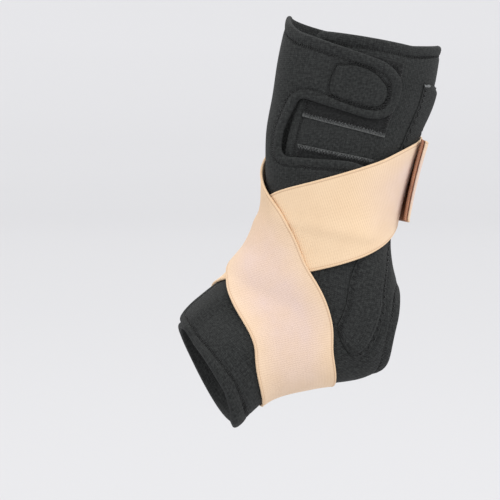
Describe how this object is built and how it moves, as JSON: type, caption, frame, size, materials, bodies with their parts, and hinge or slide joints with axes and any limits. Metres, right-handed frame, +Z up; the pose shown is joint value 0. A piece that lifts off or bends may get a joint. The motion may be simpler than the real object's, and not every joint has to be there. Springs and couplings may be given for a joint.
{
  "type": "ankle brace with figure-of-eight strap",
  "caption": "Open-heel foam ankle sleeve for the right foot, closed by front tabs and an elastic figure-of-eight strap.",
  "frame": {"origin": "middle of the ankle inside the sleeve, level with the ankle bones, where the leg holds the brace", "axes": "+Z up, the way the lower leg stands with a lean of about 11 degrees towards the heel side; -X points to the toes, -Y is the inner (medial) side and +Y the outer side of a right ankle"},
  "size_m": [0.1577, 0.0911, 0.2412],
  "materials": {
    "foam_sleeve": "matt knit laminated on neoprene foam",
    "loop_fabric": "matt brushed loop pile",
    "pocket_fabric": "matt knit",
    "elastic": "matt woven elastic with a fine rib",
    "hook_fabric": "matt moulded hooks"
  },
  "bodies": {
    "root": {"medial_panel": "foam_sleeve", "lateral_panel": "foam_sleeve", "upper_landing_patch": "loop_fabric", "lower_landing_patch": "loop_fabric", "stay_pocket": "pocket_fabric", "elastic_strap": "elastic", "strap_hook_pad": "hook_fabric"}
  },
  "joints": []
}
